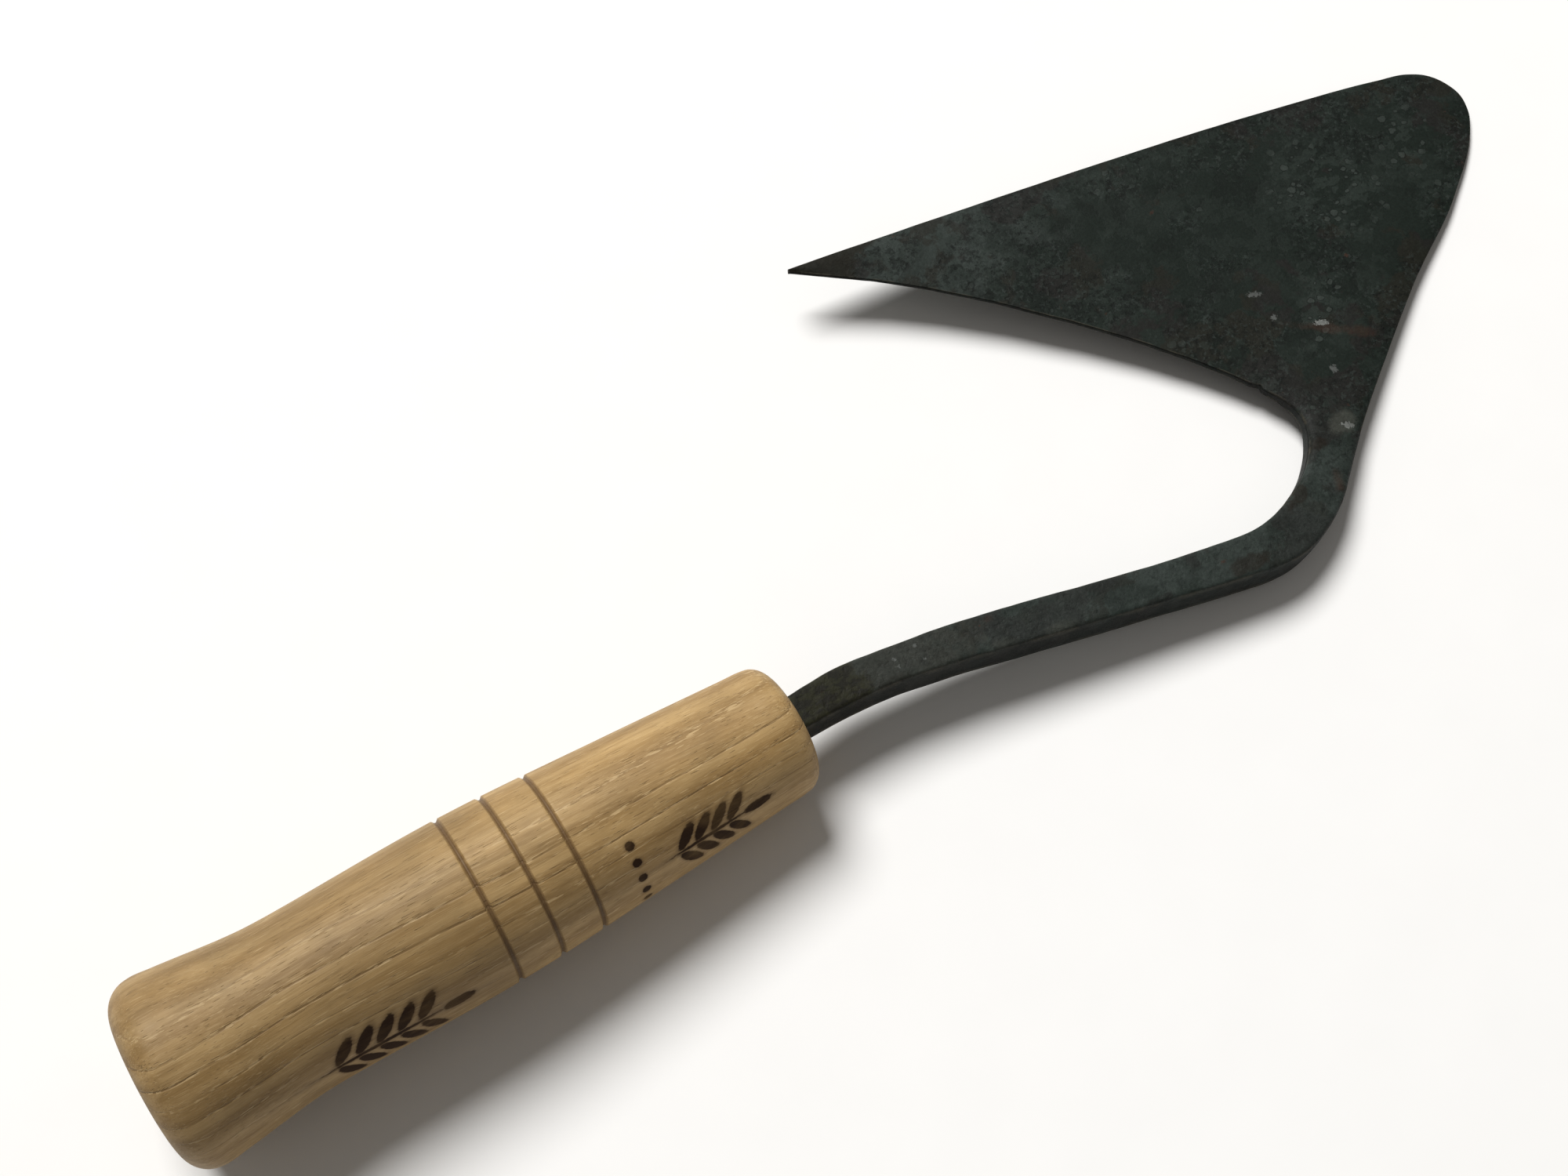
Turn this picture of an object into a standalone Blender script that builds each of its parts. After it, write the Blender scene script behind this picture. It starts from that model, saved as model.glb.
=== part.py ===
"""Short-handled hand hoe: a forged steel head whose tang runs through a turned ash handle.

The two pieces are drawn in the tool's own plane. X runs along the handle from its butt face,
Y points to the side where the blade's tip is, and Z is square to the flat of the blade.
The assembled tool is then laid on the ground on its side, as it rests when it is put down.
"""
import math

import bmesh
import bpy
import numpy as np
from mathutils import Matrix, Vector

MM = 0.001
GAP = 0.3  # clearance between the tang and the wood, mm

# ---- Handle, mm: distances from the butt face and radii ----
HANDLE_LENGTH = 130.0
BUTT_RADIUS = 18.0
BUTT_ROUND = 5.5
WAIST = (28.5, 15.88)
BULGE = (60.0, 16.45)
SHOULDER = (95.0, 14.95)
FRONT_RADIUS = 13.1
FRONT_ROUND = 3.8
GROOVE_COUNT = 3
GROOVE_START = 63.4
GROOVE_PITCH = 8.75
GROOVE_WIDTH = 1.4
GROOVE_DEPTH = 0.55
HANDLE_SEGMENTS = 48
GRIP_STEP = 4.0

# ---- Forged head, mm: smooth edge curves through (t, x, y, heading in degrees) ----
# t is -2 at the clinched end of the tang, 0 where the neck leaves the wood, 1 at the start of
# the hook bend, 2 where the bar opens into the blade and 3 at the blade's tip.
TANG_TIP_REACH = -11.0
TANG_END = 4.4  # side of the square tang where it is bent over at the butt
NECK_WIDTH = 7.4
NECK_THICKNESS = 9.0
INNER_EDGE = (
    (-2.0, 1.2, TANG_TIP_REACH, 90.0),
    (-1.6, 1.0, -3.4, 90.0),
    (-1.0, 5.8, TANG_END / 2, 0.0),
    (0.0, HANDLE_LENGTH, NECK_WIDTH / 2, 1.0),
    (0.15, 146.0, 3.7, -8.0),
    (0.45, 172.0, -0.7, -12.5),
    (1.0, 229.0, -13.4, -8.0),
    (1.35, 243.0, -11.4, 20.0),
    (1.65, 252.8, -5.9, 42.0),
    (2.0, 258.4, 3.0, 86.0),
    (2.15, 255.4, 12.4, 118.0),
    (2.45, 243.2, 30.3, 128.0),
    (2.7, 225.0, 51.2, 133.5),
    (2.88, 203.0, 72.0, 140.5),
    (3.0, 184.1, 85.9, 145.0),
)
OUTER_EDGE = (
    (-2.0, 3.6, TANG_TIP_REACH, 90.0),
    (-1.6, 4.4, -3.8, 90.0),
    (-1.0, 6.2, -TANG_END / 2, 0.0),
    (0.0, HANDLE_LENGTH, -NECK_WIDTH / 2, -1.0),
    (0.15, 146.0, -4.2, -6.0),
    (0.45, 172.0, -9.2, -13.5),
    (1.0, 229.5, -22.7, -12.0),
    (1.35, 246.0, -21.1, 22.0),
    (1.65, 256.0, -15.2, 38.0),
    (2.0, 267.0, -6.8, 37.0),
    (2.12, 285.6, 6.0, 34.0),
    (2.21, 302.8, 17.1, 31.5),
    (2.3, 326.5, 30.8, 36.0),
    (2.36, 337.3, 38.9, 44.0),
    (2.43, 345.1, 51.6, 91.0),
    (2.5, 337.5, 61.8, 164.0),
    (2.63, 300.0, 69.7, 169.5),
    (2.8, 240.0, 79.1, 172.0),
    (3.0, 184.3, 86.7, 173.0),
)
# (t, middle thickness, edge thickness, crown exponent): a high exponent is a flat-faced bar with
# chamfered corners, a low one a plate that thins smoothly to its edges.
SECTIONS = (
    (-2.0, 3.6, 2.8, 10.0),
    (-1.0, TANG_END, 3.4, 12.0),
    (0.0, NECK_THICKNESS, 8.0, 14.0),
    (1.0, NECK_THICKNESS, 8.0, 14.0),
    (1.6, 7.0, 5.6, 10.0),
    (2.0, 4.8, 3.0, 5.0),
    (2.2, 3.2, 1.6, 3.0),
    (2.5, 2.6, 1.2, 2.5),
    (3.0, 1.6, 0.9, 2.0),
)
# (start t, end t, ribs) along the forging
RIB_RUNS = ((-2.0, -1.0, 8), (-1.0, 0.0, 3), (0.0, 1.0, 18), (1.0, 2.0, 14), (2.0, 3.0, 42))
ACROSS = (-1.0, -0.86, -0.5, 0.0, 0.5, 0.86, 1.0)

# ---- Slot in the butt face that the clinched tang end lies in, mm ----
SLOT_DEPTH = 5.2
SLOT_HALF_WIDTH = 2.9
SLOT_Y_RANGE = (-11.8, 3.2)

DENSITY = {"forged_head": 7850.0, "handle": 680.0}


def clear_scene():
    for obj in list(bpy.data.objects):
        bpy.data.objects.remove(obj, do_unlink=True)


def make_material(name, colour, roughness, metallic):
    material = bpy.data.materials.new(name)
    material.use_nodes = True
    shader = material.node_tree.nodes["Principled BSDF"]
    shader.inputs["Base Color"].default_value = (*colour, 1.0)
    shader.inputs["Roughness"].default_value = roughness
    shader.inputs["Metallic"].default_value = metallic
    return material


def add_object(name, bm, material=None):
    """Turns a millimetre bmesh into a smooth-shaded object in metres."""
    bmesh.ops.recalc_face_normals(bm, faces=bm.faces)
    bm.transform(Matrix.Scale(MM, 4))
    mesh = bpy.data.meshes.new(name)
    bm.to_mesh(mesh)
    bm.free()
    mesh.shade_smooth()
    mesh.set_sharp_from_angle(angle=math.radians(35.0))
    if material:
        mesh.materials.append(material)
    obj = bpy.data.objects.new(name, mesh)
    bpy.context.scene.collection.objects.link(obj)
    return obj


def hermite(stations, t):
    """Point at t on the smooth curve through stations of (t, x, y, heading)."""
    pairs = list(zip(stations, stations[1:]))
    start, end = next((pair for pair in pairs if t <= pair[1][0]), pairs[-1])
    u = (t - start[0]) / (end[0] - start[0])
    p0 = Vector(start[1:3])
    p1 = Vector(end[1:3])
    chord = (p1 - p0).length
    m0 = Vector((math.cos(math.radians(start[3])), math.sin(math.radians(start[3])))) * chord
    m1 = Vector((math.cos(math.radians(end[3])), math.sin(math.radians(end[3])))) * chord
    return (
        p0 * (2 * u**3 - 3 * u**2 + 1)
        + m0 * (u**3 - 2 * u**2 + u)
        + p1 * (3 * u**2 - 2 * u**3)
        + m1 * (u**3 - u**2)
    )


# ---------------------------------------------------------------- handle

def arc(centre, radius, start, end, steps):
    """Points of a circular arc in the (x, radius) plane, angles in degrees."""
    angles = np.radians(np.linspace(start, end, steps + 1))
    return [(centre[0] + radius * math.cos(a), centre[1] + radius * math.sin(a)) for a in angles]


def grip_radius(x):
    """Radius of the turned grip between its two rounded ends."""
    stations = (
        (BUTT_ROUND, BUTT_RADIUS),
        WAIST,
        BULGE,
        SHOULDER,
        (HANDLE_LENGTH - FRONT_ROUND, FRONT_RADIUS),
    )
    slopes = (-0.06, 0.0, 0.0, -0.055, -0.06)
    for index, (start, end) in enumerate(zip(stations, stations[1:])):
        if x <= end[0]:
            break
    span = end[0] - start[0]
    u = (x - start[0]) / span
    return (
        start[1] * (2 * u**3 - 3 * u**2 + 1)
        + slopes[index] * span * (u**3 - 2 * u**2 + u)
        + end[1] * (3 * u**2 - 2 * u**3)
        + slopes[index + 1] * span * (u**3 - u**2)
    )


def grip_points():
    """Outer line of the grip, with the turned grooves let into it."""
    grooves = [GROOVE_START + GROOVE_PITCH * index for index in range(GROOVE_COUNT)]
    half = GROOVE_WIDTH / 2
    steps = round((HANDLE_LENGTH - BUTT_ROUND - FRONT_ROUND) / GRIP_STEP)
    plain = np.linspace(BUTT_ROUND, HANDLE_LENGTH - FRONT_ROUND, steps + 1)[1:-1]
    points = [(x, grip_radius(x)) for x in plain if min(abs(x - g) for g in grooves) > GROOVE_WIDTH]
    for groove in grooves:
        for offset in (-half, -half / 2, 0.0, half / 2, half):
            dip = GROOVE_DEPTH * (1.0 - (offset / half) ** 2)
            points.append((groove + offset, grip_radius(groove + offset) - dip))
    return sorted(points)


def handle_profile():
    butt = arc((BUTT_ROUND, BUTT_RADIUS - BUTT_ROUND), BUTT_ROUND, 180.0, 90.0, 5)
    front_centre = (HANDLE_LENGTH - FRONT_ROUND, FRONT_RADIUS - FRONT_ROUND)
    front = arc(front_centre, FRONT_ROUND, 90.0, 0.0, 4)
    return [(0.0, 0.0)] + butt + grip_points() + front + [(HANDLE_LENGTH, 0.0)]


def turned_handle(material):
    bm = bmesh.new()
    verts = [bm.verts.new((x, 0.0, radius)) for x, radius in handle_profile()]
    edges = [bm.edges.new(pair) for pair in zip(verts, verts[1:])]
    bmesh.ops.spin(
        bm,
        geom=verts + edges,
        cent=(0.0, 0.0, 0.0),
        axis=(1.0, 0.0, 0.0),
        angle=math.tau,
        steps=HANDLE_SEGMENTS,
        use_merge=True,
    )
    bmesh.ops.remove_doubles(bm, verts=bm.verts, dist=1e-4)
    return add_object("handle", bm, material)


def box_mesh(low, high):
    bm = bmesh.new()
    size = Vector(high) - Vector(low)
    placed = Matrix.Translation((Vector(low) + Vector(high)) / 2) @ Matrix.Diagonal((*size, 1.0))
    bmesh.ops.create_cube(bm, size=1.0, matrix=placed)
    return bm


def tang_hole_mesh():
    """Square tapered hole that follows the straight tang, GAP wider on every side."""
    bm = bmesh.new()
    overrun = 3.0
    loops = []
    for x in (-overrun, HANDLE_LENGTH + overrun):
        u = x / HANDLE_LENGTH
        half_y = (TANG_END + (NECK_WIDTH - TANG_END) * u) / 2 + GAP
        half_z = (TANG_END + (NECK_THICKNESS - TANG_END) * u) / 2 + GAP
        corners = ((-1, -1), (1, -1), (1, 1), (-1, 1))
        loops.append([bm.verts.new((x, half_y * a, half_z * b)) for a, b in corners])
    for index in range(4):
        after = (index + 1) % 4
        bm.faces.new((loops[0][index], loops[0][after], loops[1][after], loops[1][index]))
    bm.faces.new(loops[0])
    bm.faces.new(loops[1])
    return bm


def cut(target, name, bm):
    cutter = add_object(name, bm)
    cutter.hide_render = True
    cutter.display_type = "WIRE"
    modifier = target.modifiers.new(name, "BOOLEAN")
    modifier.operation = "DIFFERENCE"
    modifier.object = cutter
    return cutter


# ---------------------------------------------------------------- forged head

def rib_positions():
    positions = [RIB_RUNS[0][0]]
    for start, end, count in RIB_RUNS:
        positions += list(np.linspace(start, end, count + 1)[1:])
    return positions


def section_loop(t):
    """Closed loop of points around the forging at t: across its upper face, back across its lower."""
    inner = hermite(INNER_EDGE, t)
    outer = hermite(OUTER_EDGE, t)
    keys = [row[0] for row in SECTIONS]
    middle, edge, exponent = (np.interp(t, keys, [row[i] for row in SECTIONS]) for i in (1, 2, 3))
    upper = []
    for q in ACROSS:
        place = inner.lerp(outer, (q + 1.0) / 2.0)
        half = (edge + (middle - edge) * (1.0 - abs(q) ** exponent)) / 2.0
        upper.append((place.x, place.y, half))
    lower = [(x, y, -z) for x, y, z in reversed(upper)]
    return upper + lower


def forged_head(material):
    bm = bmesh.new()
    loops = [[bm.verts.new(point) for point in section_loop(t)] for t in rib_positions()]
    for first, second in zip(loops, loops[1:]):
        for index in range(len(first)):
            after = (index + 1) % len(first)
            bm.faces.new((first[index], first[after], second[after], second[index]))
    bm.faces.new(loops[0])
    bm.faces.new(reversed(loops[-1]))
    return add_object("forged_head", bm, material)


# ---------------------------------------------------------------- laying the tool down

def evaluated_bmesh(obj):
    bm = bmesh.new()
    bm.from_object(obj, bpy.context.evaluated_depsgraph_get())
    return bm


def mass_and_moment(obj):
    """Mass, and mass times centre, from signed tetrahedra on the object's triangles."""
    bm = evaluated_bmesh(obj)
    bmesh.ops.triangulate(bm, faces=bm.faces)
    volume = 0.0
    moment = Vector((0.0, 0.0, 0.0))
    for face in bm.faces:
        a, b, c = (vert.co for vert in face.verts)
        part = a.dot(b.cross(c)) / 6.0
        volume += part
        moment += (a + b + c) * (part / 4.0)
    bm.free()
    return volume * DENSITY[obj.name], moment * DENSITY[obj.name]


def resting_rotation(pieces):
    """Rotation that puts the hull facet under the centre of mass flat on the ground.

    The handle's axis then points along +X as seen from above.
    """
    totals = [mass_and_moment(piece) for piece in pieces]
    centre = sum((moment for _, moment in totals), Vector()) / sum(mass for mass, _ in totals)
    hull = bmesh.new()
    for piece in pieces:
        hull.from_object(piece, bpy.context.evaluated_depsgraph_get())
    result = bmesh.ops.convex_hull(hull, input=hull.verts, use_existing_faces=False)
    faces = [item for item in result["geom"] if isinstance(item, bmesh.types.BMFace)]
    down = Vector((0.0, 0.0, -1.0))
    for face in faces:
        a, b, c = (vert.co.copy() for vert in face.verts)
        normal = (b - a).cross(c - a).normalized()
        if normal.dot(centre - a) > 0.0:
            normal.negate()
        if normal.dot(down) < 0.9:
            continue
        foot = centre - normal * normal.dot(centre - a)
        sides = [(q - p).cross(foot - p).dot(normal) for p, q in ((a, b), (b, c), (c, a))]
        if min(sides) >= 0.0 or max(sides) <= 0.0:
            hull.free()
            turn = normal.rotation_difference(down).to_matrix().to_4x4()
            heading = turn @ Vector((1.0, 0.0, 0.0))
            return Matrix.Rotation(-math.atan2(heading.y, heading.x), 4, "Z") @ turn
    raise RuntimeError("the tool has no stable way to lie on its flat side")


def lay_down(pieces):
    """Parents the pieces to an empty that rests them on the ground, origin under the middle."""
    turn = resting_rotation(pieces)
    corners = []
    for piece in pieces:
        bm = evaluated_bmesh(piece)
        corners += [turn @ vert.co for vert in bm.verts]
        bm.free()
    low = Vector(min(point[axis] for point in corners) for axis in range(3))
    high = Vector(max(point[axis] for point in corners) for axis in range(3))
    middle = (low + high) / 2.0
    tool = bpy.data.objects.new("tool", None)
    bpy.context.scene.collection.objects.link(tool)
    tool.matrix_world = Matrix.Translation((-middle.x, -middle.y, -low.z)) @ turn
    return tool


def build():
    clear_scene()
    ash = make_material("ash_wood", (0.52, 0.36, 0.19), 0.55, 0.0)
    steel = make_material("forge_scale_steel", (0.035, 0.042, 0.040), 0.55, 0.7)
    handle = turned_handle(ash)
    cutters = [
        cut(handle, "tang_hole", tang_hole_mesh()),
        cut(
            handle,
            "clinch_slot",
            box_mesh(
                (-1.0, SLOT_Y_RANGE[0], -SLOT_HALF_WIDTH),
                (SLOT_DEPTH, SLOT_Y_RANGE[1], SLOT_HALF_WIDTH),
            ),
        ),
    ]
    head = forged_head(steel)
    bpy.context.view_layer.update()
    tool = lay_down([handle, head])
    for obj in [handle, head] + cutters:
        obj.parent = tool
    bpy.context.view_layer.update()


build()
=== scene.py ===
"""Looks of the short-handled hand hoe: a forged head with its forge scale and a turned ash handle.

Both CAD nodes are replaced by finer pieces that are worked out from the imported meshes. The pieces
are modelled in the tool's own axes, in millimetres: X along the handle from its butt face, Y to the
side where the blade's tip is, and Z square to the flat of the blade.
"""
import math

import bmesh
import bpy
import numpy as np
from mathutils import Matrix, Vector, noise
from mathutils.bvhtree import BVHTree


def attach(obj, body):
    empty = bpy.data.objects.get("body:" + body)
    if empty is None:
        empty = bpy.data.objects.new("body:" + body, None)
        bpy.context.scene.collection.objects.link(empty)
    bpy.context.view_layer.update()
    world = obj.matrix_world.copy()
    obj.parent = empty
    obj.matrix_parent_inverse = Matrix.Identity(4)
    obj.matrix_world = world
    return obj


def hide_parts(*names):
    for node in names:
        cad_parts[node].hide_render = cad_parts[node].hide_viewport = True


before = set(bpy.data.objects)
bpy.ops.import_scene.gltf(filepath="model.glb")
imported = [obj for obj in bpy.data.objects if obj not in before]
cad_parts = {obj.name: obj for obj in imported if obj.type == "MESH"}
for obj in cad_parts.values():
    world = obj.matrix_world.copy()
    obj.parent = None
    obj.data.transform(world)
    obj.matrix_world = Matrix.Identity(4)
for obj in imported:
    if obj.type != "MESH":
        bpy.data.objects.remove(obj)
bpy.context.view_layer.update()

MM = 0.001

# ---- Reading the CAD, mm ----
CLEAR_OF_SLOT = 7.5  # the turned surface is clear of the butt's slot from here on
CLEAR_OF_HOLE = 8.0  # and lies farther than this from the handle's axis
SLOT_WITHIN = 12.3  # the butt's slot lies nearer than this to the handle's axis
ON_FLAT, OFF_FLAT = 0.05, 0.5  # a corner this near an end's plane is on it, this far from it is not
MARGIN = 0.1  # slack where two CAD lengths are compared
GROOVE_DEPTH_OVER, GROOVE_LENGTH_UNDER = 0.4, 3.0  # what tells a groove from the rest of the profile
GROOVE_OWN = 0.9  # the grooves' own rings lie within this share of their half length
WALL_TILT = 0.02  # a wall's normal has less than this along Z
NUDGE = 0.001  # share of a rib step that rays keep off the end faces, which they would miss
RIM_STEPS = 6  # edges across each end face of the forging
ABOVE_ALL = 50.0  # rays that measure the forging's upper face start at this height
OFF_CENTRE = 0.86  # share of a rib's half width where its crown is measured a second time
PLACES = 3  # decimals that a CAD vertex is rounded to when repeats are dropped

# ---- Forging mesh, mm ----
RIB_STEP = 0.62
HIDDEN_RIB_STEP = 6.0  # inside the wood
HIDDEN_FROM = 5.0  # where the tang is out of the butt's slot and inside the wood
COLUMNS = 41
WALL_POINTS = (0.55, 0.0, -0.55)  # heights down the edge wall, as shares of its half height
EVEN_SHARE = 0.12  # how evenly a face's columns are spread; the rest crowds them to its arrises
ARRIS_INSET, ARRIS_SHARE = 0.16, 0.2  # the arrises' inset, and its largest share of the width
HEAD_SHARP = 62.0  # edges that turn by more degrees than this are drawn crisp
EDGE_WAVES = ((0.16, 11.0, 3.1), (0.06, 3.2, 7.7))  # height, length and shift of each hammered wave
FACE_WAVES = ((0.11, 13.0, 1.3), (0.05, 4.5, 5.9))
INNER, OUTER = 1.0, 2.0  # what the shift is multiplied by, so that the two edges differ
NICK_REACH, NICK_LENGTH, NICK_DEPTH = 158.0, 1.5, 0.75  # in the blade's inner edge, near its root

# ---- Handle mesh, mm ----
GRIP_STEP = 0.5
GROOVE_SAMPLES = 13
GROOVE_CLEAR = 1.02  # the plain outline stops this many half lengths from a groove's middle
SEGMENTS = 200
GRIP_SHARP = 40.0
CUTTER_SHARP = 30.0
OVERSHOOT = 2.0  # how far a cutter stands out of the wood

# ---- Camera: place in metres, then directions in the row frame ----
CAMERA_PLACE = (-0.11035, -0.12775, 0.35168)
CAMERA_AIM = (0.22299, 0.32595, -0.91871)
CAMERA_UP = (0.48351, 0.78136, 0.39458)
LENS = 43.25
SENSOR = 36.0


# ---------------------------------------------------------------- reading the CAD

def cad_points(node):
    """Each place where the CAD node has a vertex, in millimetres, in the row frame."""
    flat = np.empty(len(node.data.vertices) * 3)
    node.data.vertices.foreach_get("co", flat)
    return np.unique((flat.reshape(-1, 3) / MM).round(PLACES), axis=0)


def spread_axes(points):
    """Directions of the points' least, middle and greatest spread, as rows."""
    offsets = points - points.mean(axis=0)
    return np.linalg.eigh(offsets.T @ offsets)[1].T


def tool_matrix(handle, head):
    """Takes the tool's own axes to the row frame, both in metres.

    The rings of the turned surface give the handle's axis, and the forging, which is the same
    above and below its middle plane, gives the direction square to the blade.
    """
    turned = handle
    for _ in range(3):
        axis = spread_axes(turned)[2]
        axis *= np.sign(axis @ (head.mean(axis=0) - handle.mean(axis=0)))
        offsets = handle - turned.mean(axis=0)
        along = offsets @ axis
        butt = turned.mean(axis=0) + axis * along.min()
        radius = np.linalg.norm(offsets - np.outer(along, axis), axis=1)
        turned = handle[(along > along.min() + CLEAR_OF_SLOT) & (radius > CLEAR_OF_HOLE)]
    normal = spread_axes(head)[0]
    side = np.cross(normal * np.sign(normal[2]), axis)
    side /= np.linalg.norm(side)
    turn = Matrix((axis, side, np.cross(axis, side))).transposed().to_4x4()
    return Matrix.Translation(Vector(butt) * MM) @ turn


def in_tool_axes(node, placed):
    """The CAD node as a bmesh in the tool's own axes and millimetres."""
    bm = bmesh.new()
    bm.from_mesh(node.data)
    bmesh.ops.remove_doubles(bm, verts=bm.verts, dist=MM * 10.0**-PLACES)
    bm.transform(Matrix.Scale(1.0 / MM, 4) @ placed.inverted())
    bm.normal_update()
    return bm


def smooth_path(points, at):
    """Reads a smooth curve through the points at fractional point numbers."""
    steps = np.linalg.norm(np.diff(points, axis=0), axis=1)[:, None]
    slopes = np.diff(points, axis=0) / steps
    inside = (slopes[:-1] * steps[1:] + slopes[1:] * steps[:-1]) / (steps[:-1] + steps[1:])
    tangents = np.vstack((slopes[:1], inside, slopes[-1:]))
    index = np.clip(at.astype(int), 0, len(points) - 2)
    u = (at - index)[:, None]
    span = steps[index]
    return (
        points[index] * (2 * u**3 - 3 * u**2 + 1)
        + tangents[index] * span * (u**3 - 2 * u**2 + u)
        + points[index + 1] * (3 * u**2 - 2 * u**3)
        + tangents[index + 1] * span * (u**3 - u**2)
    )


def add_piece(name, verts, faces, placed, sharp_angle):
    """A smooth-shaded object from tool millimetres, placed in the row frame."""
    mesh = bpy.data.meshes.new(name)
    mesh.from_pydata([Vector(vert) * MM for vert in verts], [], faces)
    bm = bmesh.new()
    bm.from_mesh(mesh)
    bmesh.ops.recalc_face_normals(bm, faces=bm.faces)
    bm.to_mesh(mesh)
    bm.free()
    mesh.shade_smooth()
    mesh.set_sharp_from_angle(angle=math.radians(sharp_angle))
    piece = bpy.data.objects.new(name, mesh)
    bpy.context.scene.collection.objects.link(piece)
    piece.matrix_world = placed
    return piece


def store(mesh, name, values):
    """Keeps one number or vector for each vertex, for the materials to read."""
    values = np.asarray(values, np.float32)
    kind = "FLOAT_VECTOR" if values.ndim == 2 else "FLOAT"
    field = "vector" if values.ndim == 2 else "value"
    mesh.attributes.new(name, kind, "POINT").data.foreach_set(field, values.ravel())


def mesh_points(mesh):
    flat = np.empty(len(mesh.vertices) * 3)
    mesh.vertices.foreach_get("co", flat)
    return flat.reshape(-1, 3) / MM


# ---------------------------------------------------------------- forged head

def upper_rim(bm):
    """Corners of the forging's upper face in order round its outline, from the blade's tip."""
    links = {}
    for edge in bm.edges:
        if min(vert.co.z for vert in edge.verts) < 0.0:
            continue
        if sum(abs(face.normal.z) < WALL_TILT for face in edge.link_faces) == 1:
            first, second = edge.verts
            links.setdefault(first, []).append(second)
            links.setdefault(second, []).append(first)
    tip = max(links, key=lambda vert: vert.co.y)
    rim = [tip, max(links[tip], key=lambda vert: vert.co.z)]
    while rim[-1] is not tip:
        rim.append(next(vert for vert in links[rim[-1]] if vert is not rim[-2]))
    return np.array([vert.co[:] for vert in rim])


def forging_ribs(bm):
    """Inner edge, outer edge, middle half thickness and crown exponent of each CAD rib."""
    rim = upper_rim(bm)
    count = (len(rim) - 1 - 2 * RIM_STEPS) // 2 + 1
    inner = rim[RIM_STEPS:RIM_STEPS + count][::-1]
    outer = rim[::-1][:count][::-1]
    tree = BVHTree.FromBMesh(bm)
    down = Vector((0.0, 0.0, -1.0))

    def height(share):
        places = inner + (outer - inner) * share
        neighbours = np.vstack((places[1:], places[-2:-1]))
        places += (neighbours - places) * NUDGE
        casts = [tree.ray_cast(Vector((x, y, ABOVE_ALL)), down) for x, y, _ in places]
        return np.array([cast[0].z for cast in casts])

    middle = height(0.5)
    edge = inner[:, 2]
    share = (height(0.5 + 0.5 * OFF_CENTRE) - edge) / (middle - edge)
    exponent = np.log(1.0 - share) / math.log(OFF_CENTRE)
    return inner, outer, middle, exponent


def rib_numbers(inner, outer, grip_length):
    """Fractional CAD rib numbers of the fine ribs, sparse where the tang is inside the wood."""
    steps = np.maximum(
        np.linalg.norm(np.diff(inner, axis=0), axis=1),
        np.linalg.norm(np.diff(outer, axis=0), axis=1),
    )
    numbers = []
    for index, step in enumerate(steps):
        hidden = inner[index, 0] > HIDDEN_FROM and inner[index + 1, 0] <= grip_length + MARGIN
        parts = math.ceil(step / (HIDDEN_RIB_STEP if hidden else RIB_STEP))
        numbers += list(index + np.arange(parts) / parts)
    return np.array(numbers + [len(steps)])


def ripple(points, size, shift):
    """Smooth random value near -1 to 1 at each point, with swells about size apart."""
    move = Vector((shift, 0.37 * shift, 1.71 * shift))
    return np.array([noise.noise(Vector(point) / size + move) for point in points])


def ripples(points, waves, side=1.0):
    """Sum of ripples, each given as its height, length and shift."""
    return sum(height * ripple(points, length, shift * side) for height, length, shift in waves)


def wander(reach, side):
    """How far a hammered edge wanders from its true line, mm, along its length."""
    points = np.column_stack((reach, np.zeros_like(reach), np.zeros_like(reach)))
    return ripples(points, EDGE_WAVES, side)


def fine_ribs(bm, grip_length):
    """Plan of the inner and outer edge, rim height, middle height and crown exponent of fine ribs."""
    inner, outer, middle, exponent = forging_ribs(bm)
    at = rib_numbers(inner, outer, grip_length)
    whole = np.arange(len(inner))
    inner = smooth_path(inner, at)
    outer = smooth_path(outer, at)
    middle = np.interp(at, whole, middle)[:, None]
    exponent = np.interp(at, whole, exponent)[:, None]
    return inner[:, :2], outer[:, :2], inner[:, 2:3], middle, exponent


def reach_along(inner, outer, grip_length):
    """Distance of each rib along the bar from where it leaves the wood."""
    centre = (inner + outer) / 2.0
    reach = np.concatenate(([0.0], np.cumsum(np.linalg.norm(np.diff(centre, axis=0), axis=1))))
    return reach - reach[np.argmax(centre[:, 0] >= grip_length)]


def cross_sections(width, edge, middle, exponent):
    """Offsets from the middle line and heights round each rib: upper face, wall, lower face, wall."""
    even = np.linspace(-1.0, 1.0, COLUMNS)
    q = EVEN_SHARE * even + (1.0 - EVEN_SHARE) * np.sin(even * math.pi / 2.0)
    inset = np.minimum(ARRIS_INSET, ARRIS_SHARE * width)
    half = width / 2.0 - inset
    face_offset = half * q[None, :]
    face_height = edge + (middle - edge) * (1.0 - np.abs(q[None, :]) ** exponent)
    wall = np.array(WALL_POINTS)[None, :]
    wall_offset = half + inset * (1.0 - wall**2)
    wall_height = edge * wall
    offset = np.hstack((face_offset, wall_offset, face_offset[:, ::-1], -wall_offset[:, ::-1]))
    height = np.hstack((face_height, wall_height, -face_height[:, ::-1], -wall_height[:, ::-1]))
    return offset, height


def tube(rows, ring, turned_back=False):
    """Faces of a closed tube of rows rings; its sides may run the other way round."""
    faces = []
    for low in range(0, (rows - 1) * ring, ring):
        for index in range(ring):
            after = (index + 1) % ring
            quad = (low + index, low + ring + index, low + ring + after, low + after)
            faces.append(quad[::-1] if turned_back else quad)
    faces.append(tuple(range(ring)))
    faces.append(tuple(reversed(range((rows - 1) * ring, rows * ring))))
    return faces


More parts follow.
